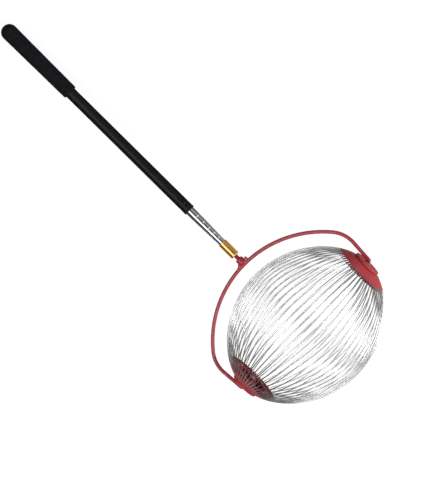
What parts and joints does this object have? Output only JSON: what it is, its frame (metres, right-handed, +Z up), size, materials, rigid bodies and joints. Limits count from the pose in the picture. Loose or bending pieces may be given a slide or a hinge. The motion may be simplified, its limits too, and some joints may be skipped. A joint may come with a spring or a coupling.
{
  "type": "rolling nut gatherer",
  "caption": "Rolling nut gatherer: a cage of bowed spring wires between two red domed caps, in a bowed rod yoke on a telescopic pole with a foam grip.",
  "frame": {"origin": "on the floor, under the middle of the outer box of the tool as it lies on its cage and the end of its grip", "axes": "+X along the cage's axle, +Y from the head towards the grip end, +Z up"},
  "size_m": [0.3056, 0.7913, 0.2307],
  "materials": {
    "foam_rubber": "fine closed-cell foam, matt black",
    "black_tube": "black powder coat, satin",
    "black_plastic": "moulded black plastic",
    "nylon": "natural grey nylon",
    "chrome": "bright chrome, drawn tube",
    "brass": "bright turned brass",
    "red_paint": "glossy red enamel over welded rod",
    "red_plastic": "glossy moulded red plastic",
    "spring_wire": "bright nickel-plated spring wire",
    "zinc_steel": "zinc-plated steel"
  },
  "bodies": {
    "handle": {"foam_grip": "foam_rubber", "tube_end_plug": "black_plastic", "outer_tube": "black_tube", "nose_bush": "black_plastic", "stage_stop": "nylon"},
    "stage_1": {"stage_tube_1": "chrome", "guide_sleeve": "nylon"},
    "stage_2": {"stage_tube_2": "chrome"},
    "stage_3": {"stage_tube_3": "chrome"},
    "stage_4": {"stage_tube_4": "chrome"},
    "stage_5": {"stage_tube_5": "chrome"},
    "head": {"stage_tube_6": "chrome", "brass_collar": "brass", "yoke_stud": "red_paint", "yoke": "red_paint", "left_washer": "zinc_steel", "right_washer": "zinc_steel", "left_push_nut": "zinc_steel", "right_push_nut": "zinc_steel"},
    "cage": {"left_cap": "red_plastic", "right_cap": "red_plastic", "left_hub": "red_plastic", "right_hub": "red_plastic", "left_hub_ring": "zinc_steel", "right_hub_ring": "zinc_steel", "left_clamp_ring": "red_plastic", "right_clamp_ring": "red_plastic", "left_clamp_screws": "zinc_steel", "right_clamp_screws": "zinc_steel", "cage_wires_1": "spring_wire", "cage_wires_2": "spring_wire", "cage_wires_3": "spring_wire", "cage_wires_4": "spring_wire", "cage_wires_5": "spring_wire", "cage_wires_6": "spring_wire", "cage_wires_7": "spring_wire", "cage_wires_8": "spring_wire"}
  },
  "joints": [
    {"name": "stage_1_slide", "type": "slide", "parent": "handle", "child": "stage_1", "axis": [0, -0.9884, 0.1517], "range_m": [0, 0.115]},
    {"name": "stage_2_slide", "type": "slide", "parent": "stage_1", "child": "stage_2", "axis": [0, -0.9884, 0.1517], "range_m": [0, 0.115]},
    {"name": "stage_3_slide", "type": "slide", "parent": "stage_2", "child": "stage_3", "axis": [0, -0.9884, 0.1517], "range_m": [0, 0.115]},
    {"name": "stage_4_slide", "type": "slide", "parent": "stage_3", "child": "stage_4", "axis": [0, -0.9884, 0.1517], "range_m": [0, 0.115]},
    {"name": "stage_5_slide", "type": "slide", "parent": "stage_4", "child": "stage_5", "axis": [0, -0.9884, 0.1517], "range_m": [0, 0.115]},
    {"name": "head_slide", "type": "slide", "parent": "stage_5", "child": "head", "axis": [0, -0.9884, 0.1517], "range_m": [0, 0.115]},
    {"name": "cage_spin", "type": "hinge", "parent": "head", "child": "cage", "pos_m": [0, -0.28031, 0.11536], "axis": [1, 0, 0], "continuous": true}
  ]
}
